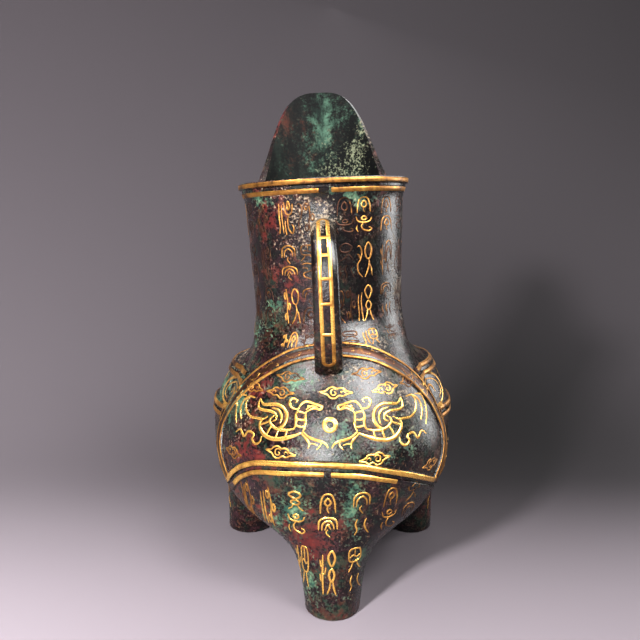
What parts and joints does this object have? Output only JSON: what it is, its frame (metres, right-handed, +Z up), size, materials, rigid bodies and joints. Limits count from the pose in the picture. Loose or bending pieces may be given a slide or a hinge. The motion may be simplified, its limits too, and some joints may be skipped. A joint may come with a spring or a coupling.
{
  "type": "tripod ewer",
  "caption": "Archaistic bronze tripod ewer (gui): tall collar with an upright pouring lip, lobed belly on hollow bag legs, strap handle, inlaid gold.",
  "frame": {"origin": "on the ground, under the middle of the ewer's bounding box", "axes": "+Z up; -Y towards the handle, which is over the largest leg; +Y towards the pouring lip; +X to the right seen from the handle"},
  "size_m": [0.154, 0.1554, 0.3001],
  "materials": {
    "bronze": "dark patinated bronze, waxed, with red cuprite and green malachite patches",
    "gold_inlay": "gold wire and sheet inlay, satin, worn and dirty in places"
  },
  "bodies": {
    "root": {"ewer": "bronze"}
  },
  "joints": []
}
